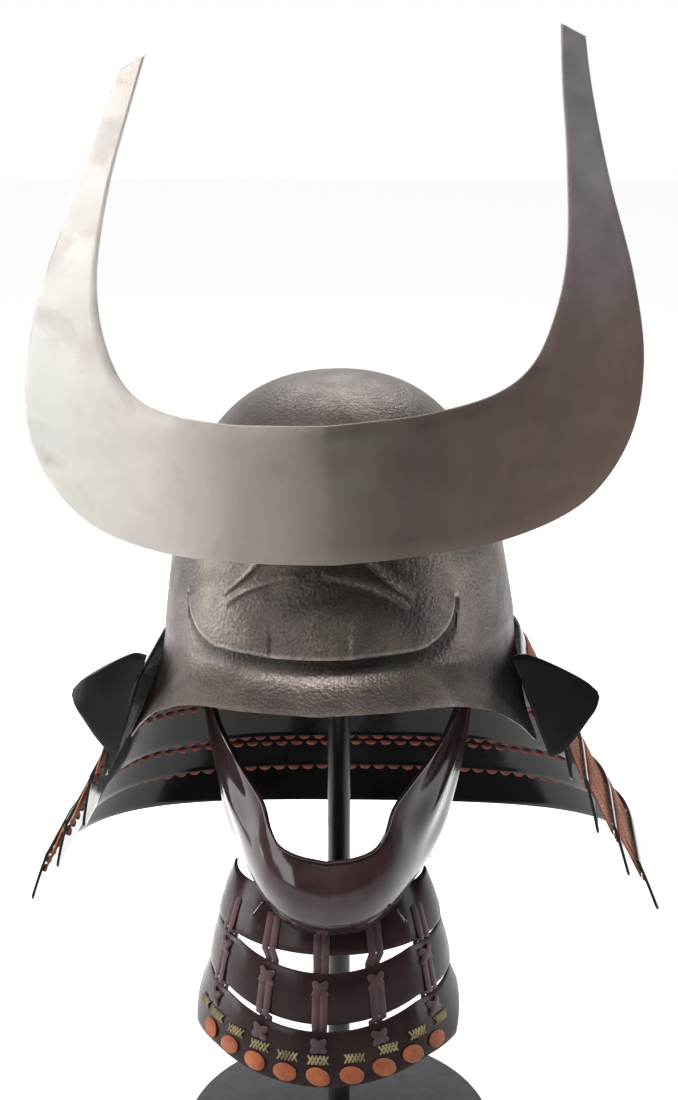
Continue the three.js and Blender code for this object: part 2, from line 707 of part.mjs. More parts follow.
for (let k = -knots.left; k <= knots.right; k++) {
  const angle = k * (k < 0 ? knots.leftStep : knots.rightStep) * DEGREE;
  addButton(`gold_knot_${k + knots.left + 1}`, knots, angle, finishes.goldThread, 8);
}

// ----------------------------------------------------------------------------- stand

// A round piece standing on a height, from a profile of radius and height pairs.
function turned(profile, z, sides) {
  const points = profile.map(([radius, height]) => new THREE.Vector2(radius, height));
  const geometry = new THREE.LatheGeometry(points, sides);
  geometry.rotateX(Math.PI / 2);
  geometry.translate(0, 0, z);
  return welded(geometry);
}
const { baseRadius, baseHeight, baseBevel, postRadius } = stand;
const headHeight = standHead[standHead.length - 1][1];
const headZ = bowlRings[0].z - PLATE - headHeight - 3 * GAP;
const postHeight = headZ - baseHeight - 2 * GAP;
const baseProfile = [
  [0, 0],
  [baseRadius, 0],
  [baseRadius, baseHeight - baseBevel],
  [baseRadius - baseBevel, baseHeight],
  [0, baseHeight],
];
const postProfile = [[0, 0], [postRadius, 0], [postRadius, postHeight], [0, postHeight]];
add('stand_base', turned(baseProfile, 0, 64), finishes.standGrey);
add('stand_post', turned(postProfile, baseHeight + GAP, 20), finishes.standBlack);
add('stand_head', turned(standHead, headZ, 24), finishes.standBlack);

export default group;
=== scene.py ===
"""The looks of a kabuto samurai helmet with its half mask and throat guard, on a stand.

Lengths in the tables are millimetres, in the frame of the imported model: +Z up, -Y the front.
"""

import math

import bmesh
import bpy
import numpy as np
from mathutils import Matrix, Vector


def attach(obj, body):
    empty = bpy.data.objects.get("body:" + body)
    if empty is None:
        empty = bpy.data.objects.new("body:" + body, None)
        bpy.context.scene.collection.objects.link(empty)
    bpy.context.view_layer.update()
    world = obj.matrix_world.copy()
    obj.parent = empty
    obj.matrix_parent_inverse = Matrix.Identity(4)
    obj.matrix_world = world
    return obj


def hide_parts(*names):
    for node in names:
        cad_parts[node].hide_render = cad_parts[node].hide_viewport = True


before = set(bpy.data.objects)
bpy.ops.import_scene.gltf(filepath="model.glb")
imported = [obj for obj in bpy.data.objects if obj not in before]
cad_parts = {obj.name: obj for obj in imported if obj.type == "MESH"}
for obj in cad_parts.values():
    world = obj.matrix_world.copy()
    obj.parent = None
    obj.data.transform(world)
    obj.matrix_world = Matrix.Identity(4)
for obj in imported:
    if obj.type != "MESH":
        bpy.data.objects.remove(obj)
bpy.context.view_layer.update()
MM = 0.001
PLATE = 2.0
random = np.random.default_rng(11)

# ---------------------------------------------------------------- seat of the pieces

TIP, TIP_Z = math.radians(1.7), 420
CREST_X, MASK_X, THROAT_X = 11, 1.5, -2.5


def tip(points):
    """The helmet's sideways tip about a point inside it."""
    x, z = points[..., 0], points[..., 2] - TIP_Z
    out = points.copy()
    out[..., 0] = x * math.cos(TIP) - z * math.sin(TIP)
    out[..., 2] = TIP_Z + x * math.sin(TIP) + z * math.cos(TIP)
    return out


def shift(dx):
    return lambda points: points + np.array([dx, 0.0, 0.0])


# ---------------------------------------------------------------------- small maths


def unit(v):
    return v / np.maximum(np.linalg.norm(v, axis=-1, keepdims=True), 1e-9)


def smooth(t):
    t = np.clip(t, 0, 1)
    return t * t * (3 - 2 * t)


def spline(rows, at):
    """A smooth curve through table rows, read at the row numbers in at."""
    rows = np.array(rows, float)
    full = np.vstack([2 * rows[0] - rows[1], rows, 2 * rows[-1] - rows[-2]])
    i = np.clip(np.floor(at).astype(int), 0, len(rows) - 2)
    t = (np.asarray(at, float) - i)[:, None]
    p0, p1, p2, p3 = full[i], full[i + 1], full[i + 2], full[i + 3]
    return 0.5 * (
        2 * p1
        + (p2 - p0) * t
        + (2 * p0 - 5 * p1 + 4 * p2 - p3) * t**2
        + (3 * p1 - p0 - 3 * p2 + p3) * t**3
    )


def mirrored(points, axis=0):
    """Rows for both sides from the rows of the right side, which start on the middle.

    axis is the column, or list of columns, that changes sign.
    """
    left = points[::-1][:-1].copy()
    left[..., axis] *= -1
    return np.concatenate([left, points])


# --------------------------------------------------------------------- mesh building


def grid_faces(rows, columns, start=0, closed_rows=False, closed_columns=False):
    faces = []
    for i in range(rows if closed_rows else rows - 1):
        a = start + i * columns
        b = start + ((i + 1) % rows) * columns
        for j in range(columns if closed_columns else columns - 1):
            k = (j + 1) % columns
            faces.append((a + j, a + k, b + k, b + j))
    return faces


class Shape:
    """Collects the surfaces of one piece, then makes its object."""

    def __init__(self):
        self.points, self.faces, self.count = [], [], 0

    def add(self, grid, closed_rows=False, closed_columns=False, caps=False):
        rows, columns = grid.shape[:2]
        start = self.count
        self.points.append(grid.reshape(-1, 3))
        self.faces += grid_faces(rows, columns, start, closed_rows, closed_columns)
        if caps:
            self.faces.append(tuple(range(start + columns - 1, start - 1, -1)))
            last = start + (rows - 1) * columns
            self.faces.append(tuple(range(last, last + columns)))
        self.count += rows * columns
        return self

    def plate(self, outer, hint, thickness=PLATE, arcs=3):
        """A plate of even thickness with rounded edges, from the grid of its outer face."""
        du = np.gradient(outer, axis=0)
        dv = np.gradient(outer, axis=1)
        normal = unit(np.cross(du, dv))
        if (normal * hint(outer)).sum() < 0:
            normal = -normal
        r = thickness / 2
        along = unit(dv)
        face = outer.copy()
        face[:, 0] += r * along[:, 0]
        face[:, -1] -= r * along[:, -1]
        parts, offsets, normals = [face], [np.full(face.shape[1], r)], [normal]
        angles = np.linspace(0, math.pi, arcs + 2)[1:-1]
        for end, sign in ((-1, 1), (0, -1)):
            middle = face[:, end] - r * normal[:, end]
            turns = angles if end == -1 else angles[::-1]
            arc = [
                middle
                + r * (normal[:, end] * math.cos(a) + sign * along[:, end] * math.sin(a))
                for a in turns
            ]
            parts.append(np.stack(arc, 1))
            offsets.append(r * np.cos(turns))
            normals.append(np.repeat(normal[:, [end]], len(turns), 1))
            if end == -1:
                parts.append((face - thickness * normal)[:, ::-1])
                offsets.append(np.full(face.shape[1], -r))
                normals.append(normal[:, ::-1])
        loops = np.concatenate(parts, 1)
        offset = np.concatenate(offsets)[None, :, None]
        normal = np.concatenate(normals, 1)
        across = unit(du)
        run = np.concatenate(
            [across, np.repeat(across[:, -1:], arcs, 1), across[:, ::-1],
             np.repeat(across[:, :1], arcs, 1)], 1)
        ends = []
        for row, sign in ((0, -1), (-1, 1)):
            grown = []
            for angle in (math.radians(80), math.radians(45)):
                squeeze = normal[row] * offset[0] * (1 - math.cos(angle))
                grown.append(loops[row] - squeeze + sign * run[row] * r * (math.sin(angle) - 1))
            ends.append(np.stack(grown if row == 0 else grown[::-1]))
        inset = loops.copy()
        inset[0] += run[0] * r
        inset[-1] -= run[-1] * r
        return self.add(np.concatenate([ends[0], inset, ends[1]]), closed_columns=True, caps=True)

    def tube(self, path, width, height=None, sides=8, up=None, flat=2.0):
        """A rounded strand along a path; width across, height through, as arrays or numbers."""
        path = np.asarray(path, float)
        along = unit(np.gradient(path, axis=0))
        up = np.array([0, 0, 1.0]) if up is None else np.asarray(up, float)
        side = unit(np.cross(along, np.broadcast_to(up, along.shape)))
        over = unit(np.cross(side, along))
        height = width if height is None else height
        width = np.broadcast_to(width, len(path))[:, None, None] / 2
        height = np.broadcast_to(height, len(path))[:, None, None] / 2
        turn = np.arange(sides) * 2 * math.pi / sides
        cos, sin = np.cos(turn), np.sin(turn)
        c = (np.sign(cos) * np.abs(cos) ** (2 / flat))[None, :, None]
        s = (np.sign(sin) * np.abs(sin) ** (2 / flat))[None, :, None]
        ring = path[:, None] + width * c * side[:, None] + height * s * over[:, None]
        return self.add(ring, closed_columns=True, caps=True)

    def piece(self, name, material, slot, replaces=(), place=None, sharp=40, wear_and_painted_light=None):
        points = np.concatenate(self.points)
        if place is not None:
            points = place(points)
        mesh = bpy.data.meshes.new(name)
        mesh.from_pydata((points * MM).tolist(), [], self.faces)
        mesh.validate()
        bm = bmesh.new()
        bm.from_mesh(mesh)
        bmesh.ops.recalc_face_normals(bm, faces=bm.faces)
        limit = math.radians(sharp)
        for edge in bm.edges:
            if len(edge.link_faces) == 2 and edge.calc_face_angle(0) > limit:
                edge.smooth = False
        for face in bm.faces:
            face.smooth = True
        bm.to_mesh(mesh)
        bm.free()
        mesh.materials.append(material)
        if wear_and_painted_light is not None:
            layer = mesh.attributes.new("wear_and_painted_light", "FLOAT", "POINT")
            layer.data.foreach_set("value", wear_and_painted_light.astype(np.float32))
        obj = bpy.data.objects.new(name, mesh)
        bpy.context.scene.collection.objects.link(obj)
        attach(obj, "root")
        if replaces:
            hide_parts(*replaces)
        return obj


# ------------------------------------------------------------------------- materials


class Paint:
    """A procedural material: one principled shader, fed by textures in object space."""

    def __init__(self, name, color, roughness, metallic=0.0, **inputs):
        self.material = bpy.data.materials.new(name)
        self.material.use_nodes = True
        self.tree = self.material.node_tree
        self.shader = self.tree.nodes["Principled BSDF"]
        self.shader.inputs["Base Color"].default_value = (*color, 1)
        self.shader.inputs["Roughness"].default_value = roughness
        self.shader.inputs["Metallic"].default_value = metallic
        for key, value in inputs.items():
            self.shader.inputs[key.replace("_", " ")].default_value = value
        self.where = self.node("ShaderNodeTexCoord").outputs["Object"]
        self.bumps = None

    def node(self, kind, **values):
        node = self.tree.nodes.new(kind)
        for key, value in values.items():
            if key in node.inputs:
                node.inputs[key].default_value = value
            else:
                setattr(node, key, value)
        return node

    def link(self, a, b):
        self.tree.links.new(a, b)

    def noise(self, scale, detail=4, roughness=0.55, distortion=0.0, stretch=None):
        node = self.node("ShaderNodeTexNoise", Scale=scale, Detail=detail, Roughness=roughness,
                         Distortion=distortion)
        self.link(self.stretched(stretch), node.inputs["Vector"])
        return node.outputs["Fac"]

    def cells(self, scale, feature, smoothness=0.6):
        node = self.node("ShaderNodeTexVoronoi", Scale=scale)
        node.feature = feature
        if "Smoothness" in node.inputs:
            node.inputs["Smoothness"].default_value = smoothness
        self.link(self.where, node.inputs["Vector"])
        return node.outputs["Distance"]

    def wave(self, scale, distortion, direction, detail=2):
        node = self.node("ShaderNodeTexWave", Scale=scale, Distortion=distortion, Detail=detail)
        node.bands_direction = direction
        self.link(self.where, node.inputs["Vector"])
        return node.outputs["Fac"]

    def attribute(self, name):
        return self.node("ShaderNodeAttribute", attribute_name=name).outputs["Fac"]

    def stretched(self, stretch):
        if stretch is None:
            return self.where
        node = self.node("ShaderNodeMapping")
        node.inputs["Scale"].default_value = stretch
        self.link(self.where, node.inputs["Vector"])
        return node.outputs["Vector"]

    def axis(self, name, low, high):
        """0 to 1 along an axis of the object, between two heights in metres."""
        split = self.node("ShaderNodeSeparateXYZ")
        self.link(self.where, split.inputs[0])
        span = self.node("ShaderNodeMapRange")
        span.interpolation_type = "SMOOTHSTEP"
        span.inputs["From Min"].default_value = low
        span.inputs["From Max"].default_value = high
        self.link(split.outputs[name], span.inputs["Value"])
        return span.outputs["Result"]

    def ramp(self, source, stops):
        node = self.node("ShaderNodeValToRGB")
        ramp = node.color_ramp
        while len(ramp.elements) < len(stops):
            ramp.elements.new(0.5)
        for element, (at, color) in zip(ramp.elements, stops):
            element.position = at
            if isinstance(color, (int, float)):
                color = (color,) * 3
            element.color = (*color, 1)
        self.link(source, node.inputs["Fac"])
        return node.outputs["Color"]

    def mix(self, a, b, factor, blend="MIX"):
        node = self.node("ShaderNodeMix")
        node.data_type = "RGBA"
        node.blend_type = blend
        for value, socket in ((factor, node.inputs[0]), (a, node.inputs[6]), (b, node.inputs[7])):
            if isinstance(value, bpy.types.NodeSocket):
                self.link(value, socket)
            elif isinstance(value, tuple):
                socket.default_value = (*value, 1)
            else:
                socket.default_value = value
        return node.outputs[2]

    def color(self, source):
        self.link(source, self.shader.inputs["Base Color"])
        return self

    def rough(self, source, low, high, start=0.3, end=0.7):
        span = self.node("ShaderNodeMapRange")
        span.inputs["From Min"].default_value = start
        span.inputs["From Max"].default_value = end
        span.inputs["To Min"].default_value = low
        span.inputs["To Max"].default_value = high
        self.link(source, span.inputs["Value"])
        self.link(span.outputs["Result"], self.shader.inputs["Roughness"])
        return self

    def bump(self, source, height, strength=1.0):
        """Adds relief of a height in metres."""
        node = self.node("ShaderNodeBump", Strength=strength, Distance=height)
        self.link(source, node.inputs["Height"])
        if self.bumps is not None:
            self.link(self.bumps, node.inputs["Normal"])
        self.bumps = node.outputs["Normal"]
        self.link(self.bumps, self.shader.inputs["Normal"])
        return self


def iron():
    p = Paint("hammered_iron", (0.1, 0.085, 0.078), 0.42, 0.75)
    patches = p.noise(22, 5, 0.6, 0.6)
    base = p.ramp(patches, [(0.3, (0.075, 0.062, 0.058)), (0.52, (0.125, 0.105, 0.094)),
                            (0.7, (0.175, 0.15, 0.125))])
    specks = p.ramp(p.noise(900, 2), [(0.42, 0.55), (0.6, 1.15)])
    # The attribute read here holds rubbed wear and painted light: a painted highlight along the ledge's lip,
    # painted shade under it and the crest's painted shadow on the forehead.
    worn_and_painted_light = p.ramp(p.attribute("wear_and_painted_light"), [(0.0, 0.12), (0.5, 1.0), (1.0, 3.2)])
    p.color(p.mix(p.mix(base, specks, 0.55, "MULTIPLY"), worn_and_painted_light, 1.0, "MULTIPLY"))
    p.rough(p.noise(60, 4), 0.33, 0.48)
    p.bump(p.noise(30, 2, 0.4), 0.0007)
    p.bump(p.cells(420, "SMOOTH_F1"), 0.00028)
    p.bump(p.noise(1100, 3), 0.00016)
    return p.material


def crest_metal():
    p = Paint("patinated_crest", (0.3, 0.26, 0.235), 0.4, 0.85)
    # Partly patina, partly painted light: the ramp across makes the crest lighter on the left and darker to
    # the right, as the light falls from the left.
    side = p.axis("X", -0.19, 0.19)
    across = p.ramp(side, [(0.0, (0.72, 0.7, 0.67)), (0.14, (0.66, 0.61, 0.57)),
                           (0.31, (0.37, 0.33, 0.295)), (0.5, (0.23, 0.205, 0.178)),
                           (0.7, (0.135, 0.112, 0.1)), (1.0, (0.21, 0.155, 0.135))])
    clouds = p.ramp(p.noise(13, 5, 0.6, 1.2), [(0.3, 0.86), (0.55, 1.0), (0.75, 1.1)])
    tone = p.mix(across, clouds, 0.8, "MULTIPLY")
    rust = p.ramp(p.noise(26, 4, 0.6, 0.8), [(0.52, 0.0), (0.75, 0.3)])
    tone = p.mix(tone, (0.2, 0.11, 0.075), rust)
    # Painted highlight: a bluish sheen on the upper right horn.
    horn_highlight = p.mix((0.0, 0.0, 0.0), p.axis("Z", 0.6, 0.77), p.axis("X", 0.08, 0.16))
    p.color(p.mix(tone, (0.52, 0.52, 0.58), p.ramp(horn_highlight, [(0.0, 0.0), (1.0, 0.6)])))
    p.rough(p.noise(45, 4), 0.34, 0.5)
    p.bump(p.noise(7, 2, 0.4), 0.0012)
    p.bump(p.noise(700, 3, 0.6, 0, (1, 1, 0.25)), 0.00008)
    return p.material


def lacquer(name, dark, light, roughness, ripple=0.0004, coat=0.6, shine=0.6):
    p = Paint(name, dark, roughness, 0.0, Coat_Weight=coat, Coat_Roughness=0.05,
              Specular_IOR_Level=shine)
    clouds = p.ramp(p.noise(30, 4, 0.6, 0.5), [(0.35, dark), (0.7, light)])
    p.color(clouds)
    p.rough(p.noise(80, 5, 0.6), roughness * 0.7, roughness * 1.6)
    p.bump(p.noise(24, 2, 0.45), ripple)
    return p.material


def silk(name, dark, light, sheen=0.5, pitch=420):
    p = Paint(name, light, 0.72, 0.0, Sheen_Weight=sheen, Sheen_Roughness=0.4)
    weave = p.wave(pitch, 1.5, "DIAGONAL")
    fibres = p.noise(2400, 2, 0.6, 0, (1, 1, 0.3))
    tone = p.ramp(p.noise(75, 3), [(0.35, dark), (0.65, light)])
    shade = p.ramp(weave, [(0.1, 0.5), (0.6, 1.05)])
    p.color(p.mix(tone, shade, 0.7, "MULTIPLY"))
    p.rough(fibres, 0.6, 0.85)
    p.bump(weave, 0.0003)
    p.bump(fibres, 0.00012)
    return p.material


def satin(name, color, roughness):
    p = Paint(name, color, roughness)
    darker, lighter = (tuple(c * share for c in color) for share in (0.88, 1.12))
    soft = p.ramp(p.noise(40, 4), [(0.3, darker), (0.7, lighter)])
    p.color(soft)
    p.rough(p.noise(120, 4), roughness * 0.85, roughness * 1.2)
    p.bump(p.noise(1500, 2), 0.00004)
    return p.material


IRON = iron()
CREST = crest_metal()
BLACK = lacquer("black_lacquer", (0.004, 0.0037, 0.004), (0.009, 0.008, 0.008), 0.1,
                coat=0.1, shine=0.22)
DEEP = lacquer("deep_brown_lacquer", (0.014, 0.0075, 0.0075), (0.028, 0.015, 0.014), 0.2,
               0.0005, 0.05, 0.16)
BROWN = lacquer("brown_lacquer", (0.02, 0.0095, 0.0095), (0.04, 0.022, 0.021), 0.14,
                0.0005, 0.45, 0.5)
ORANGE = silk("orange_silk", (0.24, 0.05, 0.012), (0.44, 0.115, 0.028), 0.25)
BRICK = silk("brick_silk", (0.2, 0.03, 0.018), (0.38, 0.075, 0.04), 0.2)
MAROON = silk("maroon_silk", (0.032, 0.009, 0.01), (0.075, 0.022, 0.024), 0.35)
GOLD = silk("gold_thread", (0.16, 0.12, 0.045), (0.46, 0.38, 0.17), 0.2, 900)
STAND_BLACK = satin("stand_black", (0.009, 0.0095, 0.01), 0.34)
STAND_GREY = satin("stand_grey", (0.034, 0.036, 0.039), 0.5)

# ------------------------------------------------------------------------------ bowl

CROWN_Y = 4
RINGS = [  # height, half width, reach to the front and to the rear
    (582, 16, 17, 19), (578, 38, 41, 43), (568, 59, 65, 67), (552, 77, 84, 87), (528, 94, 103, 105),
    (498, 105, 114, 116), (465, 112, 121, 122), (440, 116, 125, 125), (420, 119, 128, 127),
]
RIM = [
    (0, -150, 402), (45, -144, 403), (80, -129, 401), (106, -110, 390), (123, -92, 373), (133, -80, 359),
    (127, -62, 373), (123, -32, 385), (120, 10, 387), (103, 70, 380), (60, 114, 374), (0, 131, 372),
]
LEDGE = dict(centre=-4, half=88, lip=431, corner=26, rise=8, end_rise=3, top=484, flat_left=28,
             flat_right=23)
BROWS = [((59, 464), (46, 474), (22, 500)), ((56, 459), (40, 475), (9, 480))]
BROW_HEIGHT, BROW_POINTS = 3.0, 60


def lip_lift(x):
    x = x - LEDGE["centre"]
    into = np.clip(np.abs(x) - (LEDGE["half"] - LEDGE["corner"]), 0, LEDGE["corner"])
    lift = LEDGE["corner"] - np.sqrt(LEDGE["corner"] ** 2 - into**2)
    beyond = np.clip((np.abs(x) - LEDGE["half"]) / 30, 0, 1)
    return lift * (1 - smooth(beyond))


def brow_relief(x, z):
    """The double eyebrow ridges, as a height above the forehead."""
    x = x - LEDGE["centre"]
    height = np.zeros_like(x)
    for tip_at, middle, end in BROWS:
        t = np.linspace(0, 1, BROW_POINTS)[:, None]
        line = ((1 - t) ** 2 * np.array(tip_at) + 2 * t * (1 - t) * np.array(middle)
                + t**2 * np.array(end))
        dx = np.abs(x)[..., None] - line[:, 0]
        dz = z[..., None] - line[:, 1]
        distance = np.sqrt(dx**2 + dz**2)
        nearest = distance.argmin(-1)
        d = distance.min(-1)
        swell = np.maximum(0.3, np.sin(math.pi * (0.12 + 0.76 * nearest / (BROW_POINTS - 1))))
        below = np.take_along_axis(dz, nearest[..., None], -1)[..., 0] < 0
        width = np.where(below, 1.0, 2.6)
        height = np.maximum(height, BROW_HEIGHT * swell * np.exp(-((d / width) ** 2)))
    return height


def ledge_relief(x, z, lip):
    x = x - LEDGE["centre"]
    half = LEDGE["half"]
    into = np.clip((np.abs(x) - (half - LEDGE["corner"])) / LEDGE["corner"], 0, 1)
    rise = LEDGE["rise"] + (LEDGE["end_rise"] - LEDGE["rise"]) * into**2
    t = np.clip((z - lip) / (LEDGE["top"] + 4 - lip), 0, 1)
    profile = np.interp(t, [0, 0.12, 0.3, 0.5, 0.65, 0.85, 1], [1, 0.96, 0.85, 0.62, 0.4, 0.12, 0])
    height = rise * profile
    start = np.where(x > 0, LEDGE["flat_right"], LEDGE["flat_left"])
    share = np.clip((np.abs(x) - start) / (half - start), 0, 1)
    width = 12 * np.sin(math.pi * share**0.9) ** 0.8 + 0.01
    facet = np.clip(1 - (z - lip) / width, 0, 1)
    height = height - 2.6 * facet * np.clip(width / 8, 0, 1) * np.where(x > 0, 1, 0.75)
    low = (smooth((x + LEDGE["flat_left"]) / 1.6 + 0.5)
           * smooth((LEDGE["flat_right"] - x) / 1.6 + 0.5))
    height = height - 0.9 * low * (1 - smooth((z - lip - 12) / 16))
    soft = 1.6 + 1.4 * np.clip(z - LEDGE["lip"] - LEDGE["corner"] + 4, 0, 40)
    inside = smooth((half + 0.8 - np.abs(x)) / soft)
    return np.maximum(height, 0) * inside


def bowl():
    # The rim all the way round, its points closer together at the front.
    steps = np.concatenate([np.arange(0, 5, 1 / 30), np.arange(5, 11, 1 / 10), [11]])
    rim = spline(RIM, steps)
    rim = np.concatenate([rim, (rim * [-1, 1, 1])[::-1][1:-1]])
    reach = np.where(rim[:, 1] < CROWN_Y, 154, 127)
    turn = np.arctan2(rim[:, 0] / 124, (CROWN_Y - rim[:, 1]) / reach)
    # The dome: each ring has its own reach to the front and to the rear.
    rings = spline(RINGS, np.linspace(0, len(RINGS) - 1, 241))
    top = np.array([[583.6, 0.4, 0.4, 0.4], [583.4, 5, 5, 6], [582.9, 10, 11, 12]])
    rings = np.vstack([top, rings])
    depth = np.where(np.cos(turn) > 0, rings[:, 2:3], rings[:, 3:4])
    dome = np.stack(
        [rings[:, 1:2] * np.sin(turn), CROWN_Y - depth * np.cos(turn),
         np.broadcast_to(rings[:, :1], depth.shape)], -1)
    # Below the dome the wall flares out to the rim.
    share = np.linspace(0, 1, 61)[1:, None, None]
    foot = dome[-1]
    out = share**1.7
    spread = np.concatenate([out, out, share], -1)
    flare = foot * (1 - spread) + rim * spread
    wall = np.concatenate([dome, flare])
    # The levels bend to follow the ledge's lip, so its edge is one row of the mesh.
    lip_x = np.interp(LEDGE["lip"], rings[::-1, 0], rings[::-1, 1]) * np.sin(turn)
    front = np.cos(turn) > 0.2
    lip = LEDGE["lip"] + np.where(front, lip_lift(lip_x), 0)
    arc = np.concatenate([[0], np.cumsum(np.linalg.norm(np.diff(wall[:, 0], axis=0), axis=1))])
    z_even = np.interp(np.linspace(0, np.interp(-LEDGE["lip"], -wall[:, 0, 2], arc), 150), arc, wall[:, 0, 2])
    fall = (z_even[0] - z_even) / (z_even[0] - z_even[-1])
    upper = z_even[0] + (lip[None] - z_even[0]) * fall[:, None]
    under = lip[None] - np.array([0.35, 1.0, 1.7])[:, None]
    lower = np.linspace(0, 1, 50)[1:, None] ** 0.9
    lower = under[-1] + (rim[None, :, 2] - under[-1]) * lower
    levels = np.vstack([upper, under, lower])
    grid = np.empty((len(levels), len(rim), 3))
    for j in range(len(rim)):
        column = wall[:, j]
        for axis in (0, 1):
            grid[:, j, axis] = np.interp(-levels[:, j], -column[:, 2], column[:, axis])
        grid[:, j, 2] = levels[:, j]
    count = len(upper)
    x, z = grid[..., 0], grid[..., 2]
    # Relief: the ledge, the eyebrows and the hollow under the lip.
    height = np.zeros_like(x)
    height[:count] = ledge_relief(x[:count], z[:count], lip[None])
    for step, left in enumerate((0.93, 0.5, 0.1)):
        height[count + step] = height[count - 1] * left
    facing = front[None] & (np.abs(x) < 95)
    ridges = brow_relief(x[:count], z[:count])
    height[:count] += ridges
    inside = smooth((LEDGE["half"] + 1 - np.abs(x - LEDGE["centre"])) / 3) * front[None]
    gap = lip[None] - z
    height -= np.where(gap > 1.6, 1.2 * inside * (1 - smooth((gap - 6) / 9)), 0)
    # Wear and painted light: above 0.5 the iron is brighter, below it darker.
    wear_and_painted_light = np.full_like(x, 0.5)
    # Painted highlight: a bright band along the ledge's lip.
    wear_and_painted_light += 0.4 * inside * np.exp(-(((gap + 0.6) / 1.1) ** 2))
    # Painted shade: a dark band in the hollow under the lip.
    wear_and_painted_light -= np.where(gap > 0.9, 0.4 * inside * (1 - smooth((gap - 5) / 11)), 0)
    # Brighter on the eyebrow ridges. Painted shadow of the crest: a dark patch on the forehead below it.
    wear_and_painted_light[:count] += 0.3 * (ridges / BROW_HEIGHT) ** 3 - 0.24 * front[None] * (ridges < 1) * np.exp(
        -((x[:count] / 60) ** 2) - ((z[:count] - LEDGE["top"]) / 24) ** 2)
    to_rim = z - rim[None, :, 2]
    wear_and_painted_light += 0.12 * front[None] * np.exp(-((to_rim / 1.5) ** 2))
    grid[..., 1] -= np.where(facing, height, 0)
    # The inside wall, from fewer rows and without the relief.
    shell = Shape()
    outer = grid.transpose(1, 0, 2)
    rows = np.r_[0, np.arange(4, count, 5), np.arange(count + 2, len(levels), 3)]
    smooth_grid = grid.copy()
    smooth_grid[..., 1] += np.where(facing, height, 0)
    inner = smooth_grid[rows].transpose(1, 0, 2)
    radial = inner - np.array([0, CROWN_Y, 0])
    radial[..., 2] = 0
    length = np.maximum(np.linalg.norm(radial, axis=-1, keepdims=True), 1e-6)
    steep = smooth((RINGS[0][0] - inner[..., 2:3]) / 40)
    inner = inner - radial / length * np.minimum(PLATE, length * 0.9) * (0.35 + 0.65 * steep)
    inner[..., 2] -= PLATE * (1 - 0.8 * steep[..., 0])
    edge = outer[:, -1:]
    inner_edge = inner[:, -1:] + np.array([0, 0, 0.6])
    bead = (edge + inner_edge) / 2 - np.array([0, 0, 0.9])
    section = np.concatenate([outer, bead, inner_edge, inner[:, ::-1]], 1)
    shell.add(section, closed_rows=True)
    tone = np.full(section.shape[:2], 0.5)
    tone[:, : outer.shape[1]] = wear_and_painted_light.T
    tone = tone.ravel()
    for end in (section[:, 0], section[:, -1]):
        shell.add(np.stack([end, np.broadcast_to(end.mean(0), end.shape)]), closed_columns=True)
        tone = np.concatenate([tone, np.full(2 * len(end), 0.5)])
    return shell.piece("bowl_shell", IRON, "hammered_iron", ["bowl"], tip, 55, np.clip(tone, 0, 1))


bowl()

# ----------------------------------------------------------------------------- crest

CREST_ROWS = [  # inner edge X and Z, outer edge X and Z
    (0, 582, 0, 498), (30, 583, 50, 500), (60, 585, 104, 507), (96, 593, 148, 526), (118, 609, 174, 561),
    (130, 640, 181, 605), (133, 675, 172, 655), (127, 723, 152, 711), (118, 765, 135, 760),
    (112, 794, 127, 786),
]
CREST_MIDDLE_Z, CREST_FACE_Y, CREST_ROLL = 540, -150, 2.4


def crest():
    half = spline(CREST_ROWS, np.linspace(0, 9, 109))
    half = mirrored(np.stack([half[:, :2], half[:, 2:]], 1))
    across = np.linspace(0, 1, 9)[None, :, None]
    flat = half[:, :1] * (1 - across) + half[:, 1:] * across
    x, up = flat[..., 0], flat[..., 1] - CREST_MIDDLE_Z
    roll = math.radians(CREST_ROLL)
    turned_x = x * math.cos(roll) - up * math.sin(roll)
    turned_up = x * math.sin(roll) + up * math.cos(roll)
    bent = 29 * np.maximum(0, turned_up / 254) ** 2
    y = CREST_FACE_Y + 0.12 * (np.sqrt(x**2 + 144) - 12) - 0.2 * np.exp(-((x / 4) ** 2))
    outer = np.stack([turned_x + bent + CREST_X, y, CREST_MIDDLE_Z + turned_up], -1)
    shape = Shape().plate(outer, lambda p: np.array([0, -1.0, 0]))
    return shape.piece("crest_plate", CREST, "patinated_crest", ["crest"], tip)


crest()
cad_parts["crest_holder"].data.materials.clear()
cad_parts["crest_holder"].data.materials.append(IRON)

# ------------------------------------------------------------------------ neck guard

SIDE_SHARE = 7 / 17  # of half a lame's length, the straight part beside the face
LAME_CORNER = 7
LAME_COLUMNS = ("bottom", "height", "width", "lean", "front", "rear", "rear_z", "rear_height",
                "rear_lean")
LAMES = [dict(zip(LAME_COLUMNS, row)) for row in (
    (352, 52, 142, 18, -86, 143.4, 333, 48, 9),
    (320, 42, 158, 9, -62, 155, 294, 42, 6),
    (281, 42, 176, 9, -62, 165, 256, 42, 6),
    (250, 39, 197, 11, -62, 176, 225, 39, 6),
    (225, 39, 217, 15, -62, 188, 188, 41, 8),
)]


def plan(width, rear, front, along):
    side, far = np.where(along < 0, -1, 1), np.abs(along)
    t = (far - (1 - SIDE_SHARE)) / SIDE_SHARE
    angle = np.clip(far / (1 - SIDE_SHARE), 0, 1) * math.pi / 2
    power = 2 / 2.25
    y = rear * np.maximum(np.cos(angle), 0) ** power
    x = width * np.sin(angle) ** power
    straight = t > 0
    back = np.where(straight, 0, (y / rear) ** 2)
    return side * np.where(straight, width, x), np.where(straight, front * t, y), back


